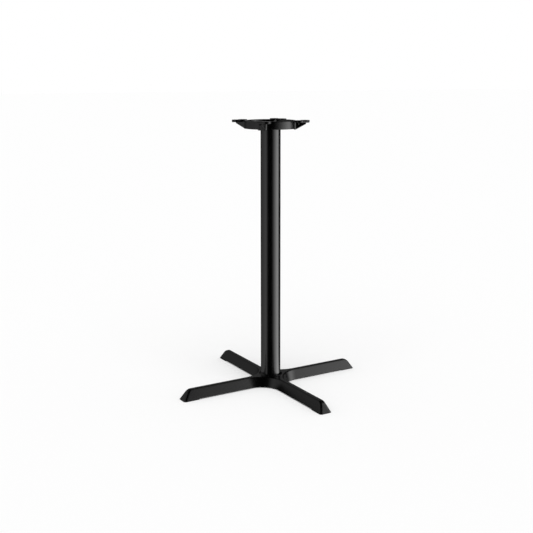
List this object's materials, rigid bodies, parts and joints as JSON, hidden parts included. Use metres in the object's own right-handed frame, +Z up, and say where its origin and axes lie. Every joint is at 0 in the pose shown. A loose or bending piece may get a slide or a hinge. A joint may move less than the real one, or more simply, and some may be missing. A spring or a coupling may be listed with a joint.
{
  "type": "bar table base",
  "caption": "Bar-height pedestal: cast cross foot with levelling glides, round steel column and cast spider for screwing on a table top.",
  "frame": {"origin": "on the floor, on the column's axis, with the glides fully screwed in", "axes": "+Z up along the column; the legs lie along X and Y and the spider's arms on the diagonals"},
  "size_m": [0.762, 0.762, 1.032],
  "materials": {
    "cast_black": "satin black powder coat on cast iron",
    "tube_black": "satin black powder coat on steel tube",
    "zinc_steel": "zinc-plated steel",
    "nylon_black": "moulded nylon"
  },
  "bodies": {
    "frame": {"cross_base": "cast_black", "column_tube": "tube_black", "top_spider": "cast_black", "tie_rod": "zinc_steel", "rod_nuts": "zinc_steel", "rod_washers": "zinc_steel", "spring_washer": "zinc_steel"},
    "glide_right": {"glide_foot_right": "nylon_black", "glide_screw_right": "zinc_steel"},
    "glide_back": {"glide_foot_back": "nylon_black", "glide_screw_back": "zinc_steel"},
    "glide_left": {"glide_foot_left": "nylon_black", "glide_screw_left": "zinc_steel"},
    "glide_front": {"glide_foot_front": "nylon_black", "glide_screw_front": "zinc_steel"}
  },
  "joints": [
    {"name": "glide_right_screw", "type": "slide", "parent": "frame", "child": "glide_right", "axis": [0, 0, -1], "range_m": [0, 0.01]},
    {"name": "glide_back_screw", "type": "slide", "parent": "frame", "child": "glide_back", "axis": [0, 0, -1], "range_m": [0, 0.01]},
    {"name": "glide_left_screw", "type": "slide", "parent": "frame", "child": "glide_left", "axis": [0, 0, -1], "range_m": [0, 0.01]},
    {"name": "glide_front_screw", "type": "slide", "parent": "frame", "child": "glide_front", "axis": [0, 0, -1], "range_m": [0, 0.01]}
  ]
}
